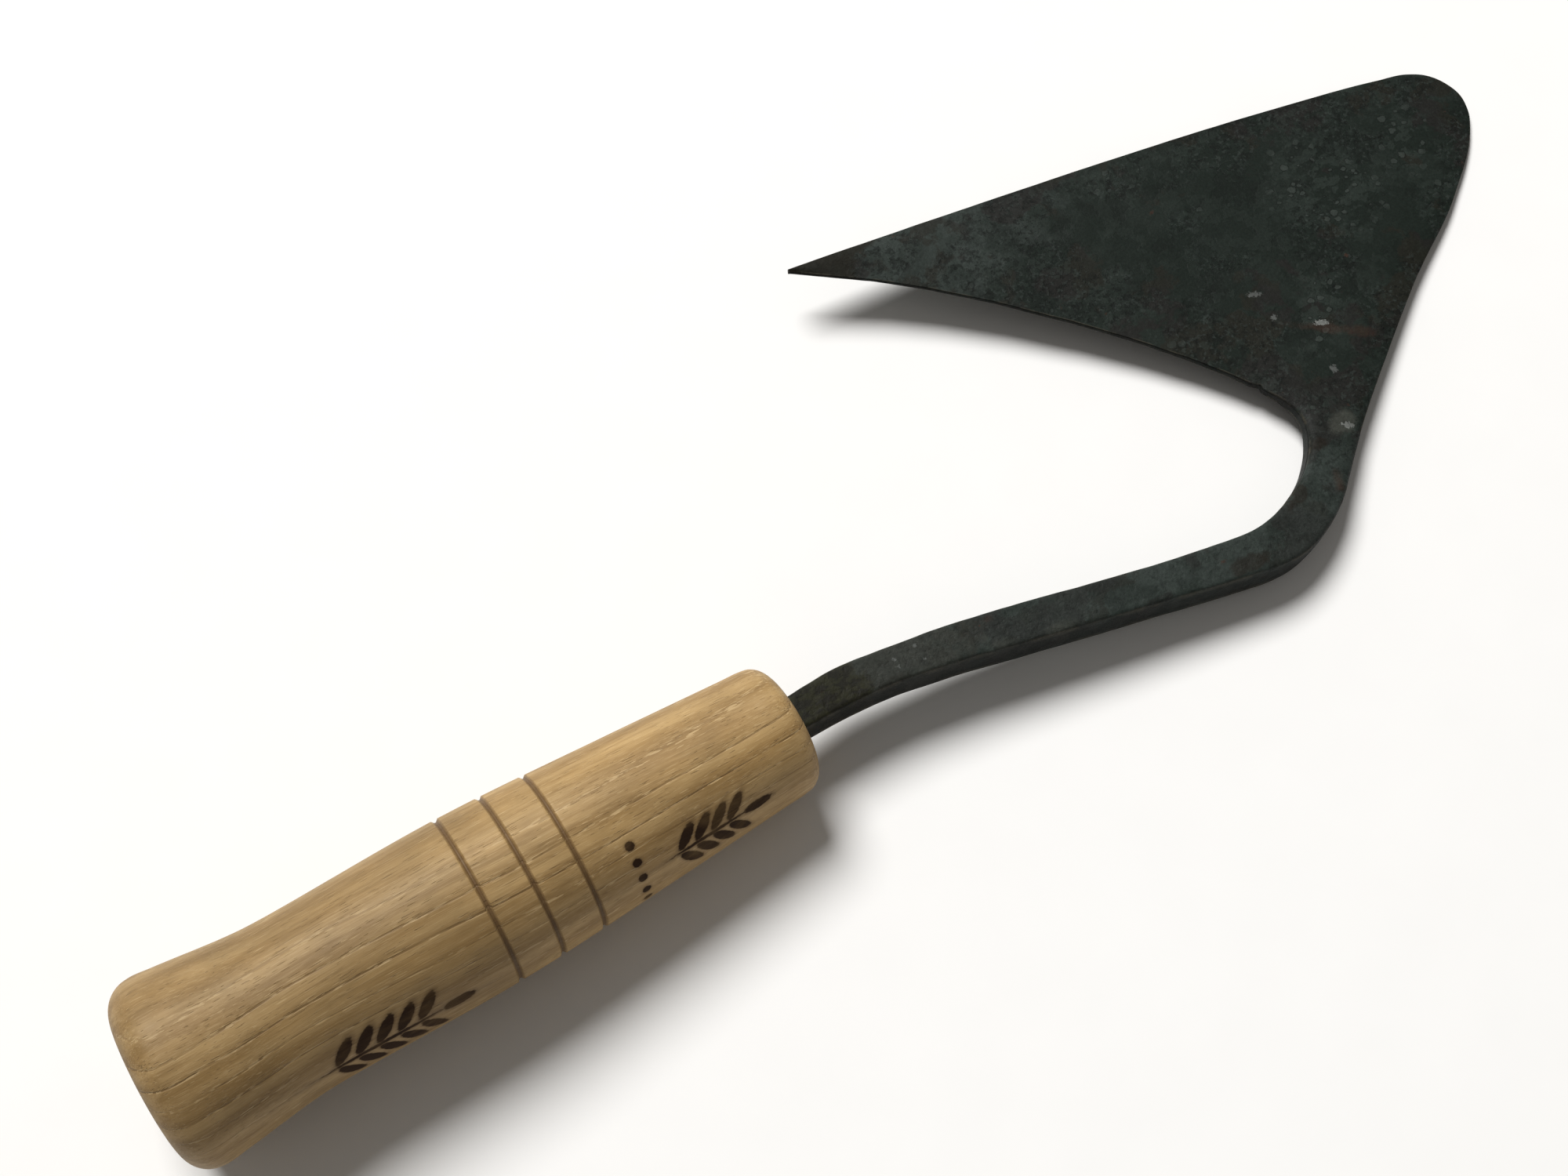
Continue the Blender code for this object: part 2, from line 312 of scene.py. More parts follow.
def forged_head(bm, placed, grip_length):
    """The forging as one closed skin: upper face, outer edge, lower face and inner edge.

    Its attributes, all in mm but for face: tool_mm is the place, rim_mm the distance from the nearer
    edge, reach_mm the distance along the bar from the wood and tip_mm the distance from the tip.
    """
    inner, outer, edge, middle, exponent = fine_ribs(bm, grip_length)
    reach = reach_along(inner, outer, grip_length)
    across = (outer - inner) / np.linalg.norm(outer - inner, axis=1)[:, None]
    nick = NICK_DEPTH * np.exp(-(((reach - NICK_REACH) / NICK_LENGTH) ** 2))
    inner = inner + across * (wander(reach, INNER) + nick)[:, None]
    outer = outer + across * wander(reach, OUTER)[:, None]
    width = np.linalg.norm(outer - inner, axis=1)[:, None]
    offset, height = cross_sections(width, edge, middle, exponent)
    plan = ((inner + outer) / 2.0)[:, None, :] + across[:, None, :] * offset[:, :, None]
    verts = np.dstack((plan, height)).reshape(-1, 3)

    rows, ring = offset.shape
    rim = np.maximum(width / 2.0 - np.abs(offset), 0.0).ravel()
    on_face = np.tile(np.repeat((1.0, 0.0, 1.0, 0.0), (COLUMNS, len(WALL_POINTS)) * 2), rows)
    swell = ripples(verts, FACE_WAVES)
    verts[:, 2] += swell * on_face * np.sign(height.ravel()) * np.clip(rim, 0.0, 1.0)

    piece = add_piece("forged_head_skin", verts, tube(rows, ring), placed, HEAD_SHARP)
    store(piece.data, "tool_mm", verts)
    store(piece.data, "rim_mm", rim)
    store(piece.data, "face", on_face)
    store(piece.data, "reach_mm", np.repeat(reach, ring))
    store(piece.data, "tip_mm", np.repeat(reach[-1] - reach, ring))
    return piece


# ---------------------------------------------------------------- turned handle

def turned_rings(points):
    """(x, radius) of each full ring of CAD vertices on the turned surface."""
    radius = np.hypot(points[:, 1], points[:, 2])
    keys, counts = np.unique(
        np.column_stack((points[:, 0], radius)).round(2), axis=0, return_counts=True
    )
    full = keys[(counts >= counts.max() // 2) & (keys[:, 1] > CLEAR_OF_HOLE)]
    return full[np.lexsort((full[:, 1], full[:, 0]))]


def find_grooves(rings):
    """(x, half width, depth) of each groove: a ring well below its neighbours but one."""
    grooves = []
    for index in range(2, len(rings) - 2):
        before, here, after = rings[index - 2], rings[index], rings[index + 2]
        depth = (before[1] + after[1]) / 2.0 - here[1]
        length = after[0] - before[0]
        dip = min(before[1], after[1]) - here[1]
        if dip > GROOVE_DEPTH_OVER and length < GROOVE_LENGTH_UNDER:
            grooves.append((here[0], length / 2.0, depth))
    return grooves


def grip_profile(rings, grooves):
    """Fine (x, radius) outline of the handle from the butt's flat to the front's flat."""
    keep = [min(abs(x - g[0]) / g[1] for g in grooves) > GROOVE_OWN for x, _ in rings]
    plain = rings[np.array(keep)]
    steps = np.linalg.norm(np.diff(plain, axis=0), axis=1)
    numbers = []
    for index, step in enumerate(steps):
        parts = math.ceil(step / GRIP_STEP)
        numbers += list(index + np.arange(parts) / parts)
    outline = smooth_path(plain, np.array(numbers + [len(steps)]))
    for x, half, depth in grooves:
        outline = outline[np.abs(outline[:, 0] - x) > half * GROOVE_CLEAR]
        places = x + half * np.sin(np.linspace(-1.0, 1.0, GROOVE_SAMPLES) * math.pi / 2.0)
        radius = np.interp(places, outline[:, 0], outline[:, 1])
        dip = depth * (1.0 - ((places - x) / half) ** 2) ** 1.5
        rows = np.column_stack((places, radius - dip))
        outline = np.vstack((outline, rows))
        outline = outline[np.lexsort((outline[:, 1], outline[:, 0]))]
    return outline


def spun(outline):
    """Vertices and faces of the outline turned about X, closed by its two flats."""
    angles = np.linspace(0.0, math.tau, SEGMENTS, endpoint=False)
    x = np.repeat(outline[:, 0], SEGMENTS)
    radius = np.repeat(outline[:, 1], SEGMENTS)
    turn = np.tile(angles, len(outline))
    verts = np.column_stack((x, radius * np.cos(turn), radius * np.sin(turn)))
    return verts, tube(len(outline), SEGMENTS, turned_back=True)


def hollow_corners(points, length):
    """Slot outline at the butt, and the tang hole's corners at the slot's floor and the front."""
    radius = np.hypot(points[:, 1], points[:, 2])
    slot = points[(points[:, 0] < ON_FLAT) & (radius < SLOT_WITHIN)]
    floor = points[(points[:, 0] > OFF_FLAT) & (points[:, 0] < CLEAR_OF_SLOT) & (radius < SLOT_WITHIN)]
    back = floor[np.abs(floor[:, 2]) < np.abs(floor[:, 2]).max() - MARGIN]
    front = points[(points[:, 0] > length - ON_FLAT) & (radius < CLEAR_OF_HOLE)]
    return slot, floor, back, front


def frustum(name, ends, placed):
    """A four-sided cutter between two rectangles, each given as (x, y range, z range)."""
    verts = []
    for x, (y0, y1), (z0, z1) in ends:
        verts += [(x, y0, z0), (x, y1, z0), (x, y1, z1), (x, y0, z1)]
    sides = [(i, i + 4, (i + 1) % 4 + 4, (i + 1) % 4) for i in range(4)]
    faces = sides + [(0, 1, 2, 3), (7, 6, 5, 4)]
    return add_piece(name, verts, faces, placed, CUTTER_SHARP)


def span(points, axis):
    return points[:, axis].min(), points[:, axis].max()


def stretch_span(near, far, share):
    """Carries a pair of ranges on in a straight line past the far one."""
    return tuple(f + (f - n) * share for n, f in zip(near, far))


def cut_hollows(piece, points, placed):
    """Cuts the tang's tapered hole and the butt's slot, as the CAD has them."""
    length = points[:, 0].max()
    slot, floor, back, front = hollow_corners(points, length)
    depth = floor[:, 0].max()
    over = OVERSHOOT / (length - depth)
    near, far = ([span(end, axis) for axis in (1, 2)] for end in (back, front))
    hole = [
        (depth - OVERSHOOT, *(stretch_span(f, n, over) for n, f in zip(near, far))),
        (length + OVERSHOOT, *(stretch_span(n, f, over) for n, f in zip(near, far))),
    ]
    recess = [(x, span(slot, 1), span(slot, 2)) for x in (-OVERSHOOT, depth)]
    cutters = [frustum("hole_cutter", hole, placed), frustum("slot_cutter", recess, placed)]
    for cutter in cutters:
        modifier = piece.modifiers.new(cutter.name, "BOOLEAN")
        modifier.operation = "DIFFERENCE"
        modifier.object = cutter
    bpy.context.view_layer.update()
    shaped = piece.evaluated_get(bpy.context.evaluated_depsgraph_get())
    mesh = bpy.data.meshes.new_from_object(shaped)
    mesh.set_sharp_from_angle(angle=math.radians(GRIP_SHARP))
    piece.modifiers.clear()
    piece.data = mesh
    for cutter in cutters:
        bpy.data.objects.remove(cutter)


def turned_handle(bm, placed):
    """The handle as a turned solid; groove runs from 0 beside a groove to 1 along its middle."""
    points = np.unique(np.array([vert.co[:] for vert in bm.verts]).round(PLACES), axis=0)
    rings = turned_rings(points)
    grooves = find_grooves(rings)
    verts, faces = spun(grip_profile(rings, grooves))
    piece = add_piece("handle_turned", verts, faces, placed, GRIP_SHARP)
    cut_hollows(piece, points, placed)
    places = mesh_points(piece.data)
    groove = np.zeros(len(places))
    for x, half, _ in grooves:
        groove = np.maximum(groove, 1.0 - np.abs(places[:, 0] - x) / half)
    store(piece.data, "tool_mm", places)
    store(piece.data, "groove", groove)
    return piece

# ---------------------------------------------------------------- shader helper

class Shader:
    """Builds one material's nodes with short calls; a value may be a number, tuple or socket.

    colour and height are what the layers so far add up to; the forging's and the wood's height is in mm.
    """

    def __init__(self, name, colour=None):
        self.material = bpy.data.materials.new(name)
        self.material.use_nodes = True
        self.tree = self.material.node_tree
        self.surface = self.tree.nodes["Principled BSDF"]
        self.colour = colour
        self.height = 0.0

    def feed(self, socket, value):
        if isinstance(value, bpy.types.NodeSocket):
            self.tree.links.new(value, socket)
        elif socket.type == "RGBA":
            socket.default_value = (*value, 1.0)
        else:
            socket.default_value = value

    def node(self, kind, *values, **settings):
        made = self.tree.nodes.new(kind)
        for key, value in settings.items():
            setattr(made, key, value)
        for socket, value in zip(made.inputs, values):
            if value is not None:
                self.feed(socket, value)
        return made

    def attribute(self, name, output="Fac"):
        return self.node("ShaderNodeAttribute", attribute_name=name).outputs[output]

    def math(self, operation, *values):
        return self.node("ShaderNodeMath", *values, operation=operation).outputs[0]

    def vector(self, operation, *values, output=0):
        return self.node("ShaderNodeVectorMath", *values, operation=operation).outputs[output]

    def noise(self, place, fineness, detail=3.0, rough=0.5, shift=None, output="Fac"):
        """A smooth random field; fineness is how fast it changes along each axis."""
        spot = self.vector("MULTIPLY", place, fineness)
        if shift:
            spot = self.vector("ADD", spot, shift)
        made = self.node("ShaderNodeTexNoise", noise_dimensions="3D")
        for key, value in (("Vector", spot), ("Scale", 1.0), ("Detail", detail), ("Roughness", rough)):
            self.feed(made.inputs[key], value)
        return made.outputs[output]

    def cells(self, place):
        """Distance from the nearest of a scatter of points, and a random number for that point."""
        made = self.node("ShaderNodeTexVoronoi", feature="F1")
        self.feed(made.inputs["Vector"], place)
        self.feed(made.inputs["Scale"], 1.0)
        number = self.node("ShaderNodeSeparateColor", made.outputs["Color"]).outputs[0]
        return made.outputs["Distance"], number

    def rise(self, value, low, high):
        """0 below low, 1 above high and smooth between; with low above high it falls instead."""
        made = self.node("ShaderNodeMapRange", interpolation_type="SMOOTHSTEP")
        if low > high:
            low, high, ends = high, low, (1.0, 0.0)
        else:
            ends = (0.0, 1.0)
        for key, number in (("Value", value), ("From Min", low), ("From Max", high)):
            self.feed(made.inputs[key], number)
        self.feed(made.inputs["To Min"], ends[0])
        self.feed(made.inputs["To Max"], ends[1])
        return made.outputs["Result"]

    def spread(self, value, low, high):
        """Maps 0 to 1 onto low to high in a straight line."""
        return self.math("MULTIPLY_ADD", value, high - low, low)

    def plus(self, base, value, times):
        """The base with so many times the value added."""
        return self.math("MULTIPLY_ADD", value, times, base)

    def both(self, *values):
        """Product of several shares."""
        result = values[0]
        for value in values[1:]:
            result = self.math("MULTIPLY", result, value)
        return result

    def blend(self, share, under, over, kind="MIX"):
        return self.node("ShaderNodeMixRGB", share, under, over, blend_type=kind).outputs[0]

    def coat(self, tint, *shares):
        """Lays a tint over the colour, as thick as the product of the shares."""
        self.colour = self.blend(self.both(*shares), self.colour, tint)

    def stand(self, value, by):
        """Raises the surface by so much where the value is 1."""
        self.height = self.plus(self.height, value, by)

    def finish(self, roughness, strength, specular):
        """Feeds the surface from the colour and the height."""
        bump = self.node("ShaderNodeBump")
        self.feed(bump.inputs["Strength"], strength)
        self.feed(bump.inputs["Distance"], MM)
        self.feed(bump.inputs["Height"], self.height)
        self.feed(self.surface.inputs["Base Color"], self.colour)
        self.feed(self.surface.inputs["Roughness"], roughness)
        self.feed(self.surface.inputs["Specular IOR Level"], specular)
        self.feed(self.surface.inputs["Normal"], bump.outputs[0])
        return self.material


# ---------------------------------------------------------------- marks

def oval(shader, place, centre, size, angle):
    """Distance in mm inside an oval's edge, negative outside it."""
    mapped = shader.node("ShaderNodeMapping", place, vector_type="TEXTURE")
    mapped.inputs["Location"].default_value = (*centre, 0.0)
    mapped.inputs["Rotation"].default_value = (0.0, 0.0, angle)
    mapped.inputs["Scale"].default_value = (size[0] / 2.0, size[1] / 2.0, 1.0)
    reach = shader.vector("LENGTH", mapped.outputs[0], output="Value")
    return shader.math("MULTIPLY", shader.math("SUBTRACT", 1.0, reach), size[1] / 2.0)


def together(shader, shapes):
    """The union of several shapes, each a distance inside its edge."""
    result = shapes[0]
    for shape in shapes[1:]:
        result = shader.math("MAXIMUM", result, shape)
    return result


def ovals(shader, place, table):
    """Union of ovals, each given as x, y, length, width and angle in degrees."""
    shapes = [
        oval(shader, place, (x, y), (long, wide), math.radians(angle)) for x, y, long, wide, angle in table
    ]
    return together(shader, shapes)


# ---------------------------------------------------------------- ash wood

RING_DIRECTION = Vector((0.022, 0.64, 0.77)).normalized()
RING_WIDTH = 3.5
GRAIN_BEND = 5.0  # how far the grain wanders from a straight line, mm
WOOD_PALE = (0.405, 0.268, 0.116)
WOOD_TAN = (0.300, 0.186, 0.071)
WOOD_LINE = (0.125, 0.068, 0.023)
WOOD_EARLY = (0.200, 0.119, 0.044)
# pale silky fibres of the wood, also the colour of the painted highlights
WOOD_SILK_AND_HIGHLIGHT = (0.560, 0.404, 0.208)
WOOD_PORE = (0.125, 0.070, 0.026)
SCORCH = (0.075, 0.038, 0.014)
SCORCH_FAINT = (0.165, 0.098, 0.044)
BURN = (0.022, 0.010, 0.006)
PAINTED_DARKER_UP_TO = 70.0  # the wood is painted darker up to here, mm from the butt: painted shade
# the wood is painted brighter from here on, mm from the butt: painted light
PAINTED_BRIGHTER_FROM = 92.0
ORNAMENT_RADIUS = 15.0  # the grip's usual radius, so that the ornament wraps round it unstretched
LEAF_WIDTH, STEM_WIDTH, LEAF_ANGLE = 2.3, 0.9, math.radians(48.0)


def sprig(shader, place, start, length, pairs, leaf):
    """A plain leafy sprig that lies along X: a stem, paired leaves and one at the end."""
    size = (leaf, LEAF_WIDTH)
    shapes = [oval(shader, place, (start[0] + length / 2.0, start[1]), (length, STEM_WIDTH), 0.0)]
    for index in range(pairs):
        along = start[0] + length * (0.14 + 0.78 * index / pairs)
        for side in (-1.0, 1.0):
            angle = side * LEAF_ANGLE
            reach = leaf * 0.5
            centre = (along + reach * math.cos(angle), start[1] + side * 0.4 + reach * math.sin(angle))
            shapes.append(oval(shader, place, centre, size, angle))
    shapes.append(oval(shader, place, (start[0] + length + leaf * 0.25, start[1]), size, 0.0))
    return shapes


def seeds(shader, place, start, step, count, size):
    """A row of small round seeds from start, each one step on from the last round the grip."""
    centres = [(start[0], start[1] + step * index) for index in range(count)]
    return [oval(shader, place, centre, (size, size), 0.0) for centre in centres]


def burnt_depth(shader, place):
    """How deep inside the burnt ornament a point is, mm; a made-up leaf pattern."""
    split = shader.node("ShaderNodeSeparateXYZ", place).outputs
    angle = shader.math("ARCTAN2", shader.math("MULTIPLY", split[1], -1.0), split[2])
    arc = shader.math("MULTIPLY", angle, ORNAMENT_RADIUS)
    flat = shader.node("ShaderNodeCombineXYZ", split[0], arc, 0.0).outputs[0]
    shapes = sprig(shader, flat, (95.5, 16.0), 18.0, 4, 6.2)
    shapes += sprig(shader, flat, (25.5, 18.5), 25.0, 5, 6.4)
    shapes += seeds(shader, flat, (90.0, 9.0), 3.6, 5, 1.9)
    ragged = shader.spread(shader.noise(place, (1.2, 3.0, 3.0)), -0.22, 0.22)
    return shader.math("ADD", together(shader, shapes), ragged)


class AshWood(Shader):
    """The handle's wood, laid up layer by layer; bent is the place, moved as the grain wanders."""

    def __init__(self):
        super().__init__("ash_wood", WOOD_TAN)
        self.place = self.attribute("tool_mm", "Vector")
        wobble = self.noise(self.place, (0.011, 0.045, 0.045), 2.0, output="Color")
        wobble = self.vector("SUBTRACT", wobble, (0.5, 0.5, 0.5))
        wobble = self.vector("MULTIPLY", wobble, (0.0, GRAIN_BEND, GRAIN_BEND))
        self.bent = self.vector("ADD", self.place, wobble)

    def growth_rings(self):
        """The dark line where a year begins, the early wood after it, and a broken painted highlight
        beside the line.
        """
        jitter = self.noise(self.place, (0.06, 0.8, 0.8), 4.0, 0.6)
        ring = self.vector("DOT_PRODUCT", self.bent, RING_DIRECTION / RING_WIDTH, output="Value")
        ring = self.math("ADD", ring, self.spread(jitter, -0.05, 0.05))
        phase = self.math("FRACT", ring)
        year = self.node("ShaderNodeTexWhiteNoise", noise_dimensions="1D")
        self.feed(year.inputs["W"], self.math("FLOOR", ring))
        strong = self.spread(year.outputs["Value"], 0.35, 1.0)
        away = self.math("ABSOLUTE", self.math("SUBTRACT", phase, 0.5))
        unbroken = self.rise(self.noise(self.bent, (0.075, 0.6, 0.6)), 0.38, 0.56)
        self.line = self.both(self.rise(away, 0.062, 0.018), strong, self.spread(unbroken, 0.22, 1.0))
        self.early = self.both(self.rise(phase, 0.46, 0.54), self.rise(phase, 0.98, 0.56), strong)
        gaps = self.noise(self.bent, (0.28, 2.6, 2.6), 2.0)
        # painted highlight beside each ring line, broken by gaps; colour only, no groove
        self.ring_highlight = self.both(self.rise(away, 0.105, 0.05), self.rise(gaps, 0.54, 0.60))

    def fibres(self):
        """Long streaks at three widths, and soft cloudy patches."""
        broad = self.noise(self.bent, (0.016, 0.30, 0.30), 4.0, 0.55)
        self.fine = self.noise(self.bent, (0.050, 1.7, 1.7), 4.0, 0.60)
        self.silk = self.noise(self.bent, (0.16, 4.6, 4.6), 3.0, 0.65)
        self.cloud = self.noise(self.place, (0.07, 0.14, 0.14), 4.0, 0.6)
        self.coat(WOOD_PALE, self.rise(broad, 0.36, 0.64))
        self.coat(WOOD_EARLY, self.early, 0.40)
        self.coat(WOOD_EARLY, self.rise(self.fine, 0.50, 0.68), 0.34)
        self.coat(WOOD_SILK_AND_HIGHLIGHT, self.rise(self.silk, 0.50, 0.68), 0.30)
        self.coat(WOOD_LINE, self.line, 0.62)
        self.colour = self.blend(0.55, self.colour, self.spread(self.cloud, 0.18, 0.82), "OVERLAY")

    def pores(self):
        """Short dashes along the grain, crowded in the early wood, with painted highlights on some dashes
        and beside the ring lines.
        """
        dash = self.noise(self.bent, (0.24, 4.8, 4.8), 1.0)
        self.pore = self.rise(self.plus(dash, self.early, 0.09), 0.695, 0.750)
        self.coat(WOOD_PORE, self.pore, 0.50)
        # painted highlights: pale dashes beside the pores, and the band beside the ring lines
        glint = self.noise(self.bent, (0.21, 4.3, 4.3), 1.0)
        glint = self.rise(self.plus(glint, self.early, 0.05), 0.69, 0.74)
        glint = self.math("MAXIMUM", self.both(glint, 0.55), self.both(self.ring_highlight, 0.6))
        self.coat(WOOD_SILK_AND_HIGHLIGHT, glint)

    def painted_front_light(self):
        """Painted light and shade: the wood is painted darker towards the butt and brighter towards the
        front end.
        """
        along = self.node("ShaderNodeSeparateXYZ", self.place).outputs[0]
        brighter_front = self.rise(self.plus(along, self.cloud, 24.0), PAINTED_DARKER_UP_TO, PAINTED_BRIGHTER_FROM)
        lift = self.spread(brighter_front, 0.84, 1.05)
        lift = self.node("ShaderNodeCombineXYZ", lift, lift, lift).outputs[0]
        self.colour = self.vector("MULTIPLY", self.colour, lift)

    def scorched_grooves(self):
        """Scorched grooves, darkest along the bottom."""
        groove = self.attribute("groove")
        self.coat(SCORCH_FAINT, self.rise(groove, 0.05, 0.45), 0.55)
        self.coat(SCORCH, self.rise(groove, 0.40, 0.70), 0.60)

    def burnt_ornament(self):
        """The ornament, charred unevenly, with a scorched halo."""
        depth = burnt_depth(self, self.place)
        halo = self.rise(depth, -0.60, 0.05)
        self.mark = self.rise(depth, -0.08, 0.16)
        charred = self.spread(self.rise(self.cloud, 0.36, 0.56), 0.66, 0.95)
        self.coat(SCORCH, halo, 0.40)
        self.coat(BURN, self.mark, charred)


def ash_wood():
    """Turned ash with its scorched grooves and ornament."""
    wood = AshWood()
    wood.growth_rings()
    wood.fibres()
    wood.pores()
    wood.painted_front_light()
    wood.scorched_grooves()
    wood.burnt_ornament()
    for value, by in ((wood.fine, 0.05), (wood.pore, -0.08), (wood.silk, 0.035), (wood.line, -0.07)):
        wood.stand(value, by)
    rough = wood.plus(wood.spread(wood.fine, 0.42, 0.64), wood.mark, 0.2)
    return wood.finish(rough, 0.8, wood.spread(wood.mark, 0.22, 0.06))


# ---------------------------------------------------------------- forge scale

SCALE_TEAL = (0.0080, 0.0128, 0.0098)
SCALE_BROWN = (0.0132, 0.0125, 0.0088)
SCALE_MAUVE = (0.0128, 0.0113, 0.0105)
SCALE_PALE = (0.0200, 0.0275, 0.0230)
SCALE_DARK = (0.0030, 0.0044, 0.0034)
SCALE_BLOOM = (0.0355, 0.0450, 0.0405)
SCALE_GREY = (0.0330, 0.0330, 0.0270)
SCALE_BLISTER = (0.0460, 0.0560, 0.0500)
SCALE_OLIVE = (0.0185, 0.0182, 0.0080)
SCALE_OILED = (0.0085, 0.0076, 0.0040)
RUBBED_TINT = (0.0560, 0.0600, 0.0500)
STAIN = (0.0120, 0.0082, 0.0050)
RUST = (0.050, 0.019, 0.011)
# pale worn scale, also used as a painted highlight along the arrises
WORN_AND_HIGHLIGHT = (0.075, 0.068, 0.050)
BARE = (0.20, 0.21, 0.20)
DULL = (0.088, 0.094, 0.090)
# patches of scale that differ in thickness: (patches per mm, threshold, softness, colour, share)
SCALE_PATCHES = (
    (0.060, 0.520, 0.050, SCALE_PALE, 0.30),
    (0.100, 0.560, 0.030, SCALE_DARK, 0.30),
    (0.170, 0.560, 0.025, SCALE_PALE, 0.26),
)
SPECKS = (
    (0.33, 0.560, 0.020, SCALE_PALE, 0.42),
    (0.46, 0.560, 0.020, SCALE_DARK, 0.52),
    (0.80, 0.570, 0.020, SCALE_DARK, 0.55),
    (1.00, 0.580, 0.020, SCALE_BLOOM, 0.40),
)
ROUGH_EDGE = 22.0  # the scale is broken and brown within this distance of an edge, and smooth inside
BLISTERED = ((300.0, 46.0, 15.0), (325.0, 48.0, 10.0))  # x, y and radius where the scale has blistered
CHIPS = (  # x, y, length, width and angle of the places chipped down to bright metal
    (276.5, 18.5, 3.4, 1.4, -25.0),
    (264.9, -4.1, 3.2, 1.5, -30.0),
)
DULL_CHIPS = (  # the same for older chips that have gone grey, and for flecks on the neck
    (268.3, 31.5, 3.6, 1.6, -20.0),
    (268.3, 24.7, 1.8, 1.4, 30.0),
    (271.3, 8.1, 2.4, 1.8, 60.0),
    (158.1, -0.2, 1.2, 0.9, 20.0),
    (153.0, -0.5, 1.0, 0.8, -40.0),
    (152.9, -2.5, 1.4, 0.7, 70.0),
    (158.0, -3.3, 0.8, 0.6, 0.0),
)
RUST_MARKS = (  # the same for a streak across the blade's root and two spots on the bar
    (276.8, 16.9, 17.0, 2.8, -35.0),
    (254.4, -13.8, 4.2, 2.4, 60.0),
    (173.2, -2.7, 2.0, 1.4, 0.0),
)
RUBBED = (  # the same for places rubbed paler, round the last chip and along the neck's arris
    (264.6, -3.0, 8.0, 5.0, 20.0),
    (184.8, -11.4, 8.0, 2.0, -14.0),
    (172.7, -8.4, 4.0, 1.8, -14.0),
)
STAINS = (  # the same for dark stains round the hook
    (244.9, -11.9, 4.6, 3.0, 45.0),
    (241.6, -13.4, 4.2, 1.8, 35.0),
    (256.1, -5.1, 3.2, 1.8, 10.0),
    (227.4, -19.6, 10.0, 3.0, -8.0),
)

class ForgeScale(Shader):
    """The forging's surface, laid up layer by layer; ragged makes the layers' borders wander."""

    def __init__(self):
        super().__init__("forge_scale_steel", SCALE_TEAL)
        self.place = self.attribute("tool_mm", "Vector")
        self.rim = self.attribute("rim_mm")
        self.reach = self.attribute("reach_mm")
        self.tip = self.attribute("tip_mm")
        self.face = self.attribute("face")
        self.flat = self.vector("MULTIPLY", self.place, (1.0, 1.0, 0.0))
        self.above = self.rise(self.node("ShaderNodeSeparateXYZ", self.place).outputs[2], 0.1, 0.6)
        self.mottle = self.noise(self.place, (0.16, 0.16, 0.3), 8.0, 0.62)
        self.grit = self.noise(self.place, (1.7, 1.7, 1.0), 5.0, 0.65)
        self.ragged = self.spread(self.mottle, -1.0, 1.0)
        self.border = self.rise(self.plus(self.rim, self.ragged, 10.0), ROUGH_EDGE, 3.0)

    def patches(self, table, shift, share=1.0):
        """Lays crisp patches over each other; each stands a little proud, as flaking scale does."""
        for index, (fineness, threshold, softness, tint, strength) in enumerate(table):
            move = (7.3 * index + shift, 3.1 * index, 5.7 * index)
            field = self.noise(self.place, (fineness, fineness, 1.5 * fineness), 4.0, 0.55, move)
            patch = self.both(self.rise(field, threshold, threshold + softness), share)
            self.coat(tint, patch, strength)
            self.stand(patch, -0.03 if tint is SCALE_DARK else 0.035)

    def spots(self, table, ragged, times, low, high):
        """Ovals on the upper side, with ragged borders that rise from low to high mm inside them."""
        inside = self.plus(ovals(self, self.flat, table), ragged, times)
        return self.both(self.rise(inside, low, high), self.above)

    def bloom(self):
        """The bar and the blade's point are paler than the blade's middle, and greyer near the wood."""
        bar = self.rise(self.plus(self.reach, self.ragged, 20.0), 152.0, 126.0)
        point = self.rise(self.plus(self.tip, self.ragged, 34.0), 62.0, 34.0)
        cover = self.noise(self.place, (0.13, 0.13, 0.2), 9.0, 0.6)
        cover = self.spread(self.rise(cover, 0.42, 0.56), 0.40, 0.78)
        self.coat(SCALE_BLOOM, self.math("MAXIMUM", bar, point), cover)
        grey = self.rise(self.plus(self.reach, self.ragged, 24.0), 44.0, 34.0)
        self.coat(SCALE_GREY, grey, 0.62)

    def brown_scale(self):
        """Mauve-grey and grey-brown scale in soft patches, mostly along the edges."""
        brown = self.noise(self.place, (0.075, 0.075, 0.10), 6.0, 0.60, (2.7, 9.1, 4.4))
        self.on_bar = self.rise(self.reach, 142.0, 122.0)
        brown = self.plus(brown, self.on_bar, -0.030)
        brown = self.rise(self.plus(brown, self.border, 0.115), 0.580, 0.625)
        cast = self.noise(self.place, (0.055, 0.055, 0.08))
        tint = self.blend(self.rise(cast, 0.47, 0.53), SCALE_MAUVE, SCALE_BROWN)
        self.coat(tint, brown, self.spread(self.on_bar, 0.72, 0.50))

    def broken_scale(self):
        """Near the edges the scale is speckled and cracked, in the smooth middle hardly at all."""
        coarse = self.noise(self.place, (0.05, 0.07, 0.1), 2.0)
        broken = self.rise(self.plus(coarse, self.border, 0.16), 0.50, 0.62)
        broken = self.both(broken, self.spread(self.rise(self.reach, 110.0, 150.0), 0.30, 1.0))
        self.patches(SPECKS, 40.0, self.spread(broken, 0.15, 1.0))
        crack = self.noise(self.place, (0.28, 0.33, 0.4), 4.0)
        crack = self.rise(self.math("ABSOLUTE", self.math("SUBTRACT", crack, 0.5)), 0.010, 0.002)
        self.crack = self.both(crack, broken, self.rise(self.mottle, 0.45, 0.55))
        self.coat(SCALE_DARK, self.crack, 0.55)

    def blistering(self):
        """Where the scale has blistered: 1 in the listed rounds, and here and there elsewhere."""
        rounds = [oval(self, self.flat, (x, y), (2.0 * r, 2.0 * r), 0.0) for x, y, r in BLISTERED]
        crowd = together(self, rounds)
        stray = self.noise(self.place, (0.045, 0.06, 0.1), 2.0)
        crowd = self.rise(self.plus(crowd, self.ragged, 9.0), -1.0, 6.0)
        return self.math("MAXIMUM", self.both(crowd, self.above), self.rise(stray, 0.60, 0.68))

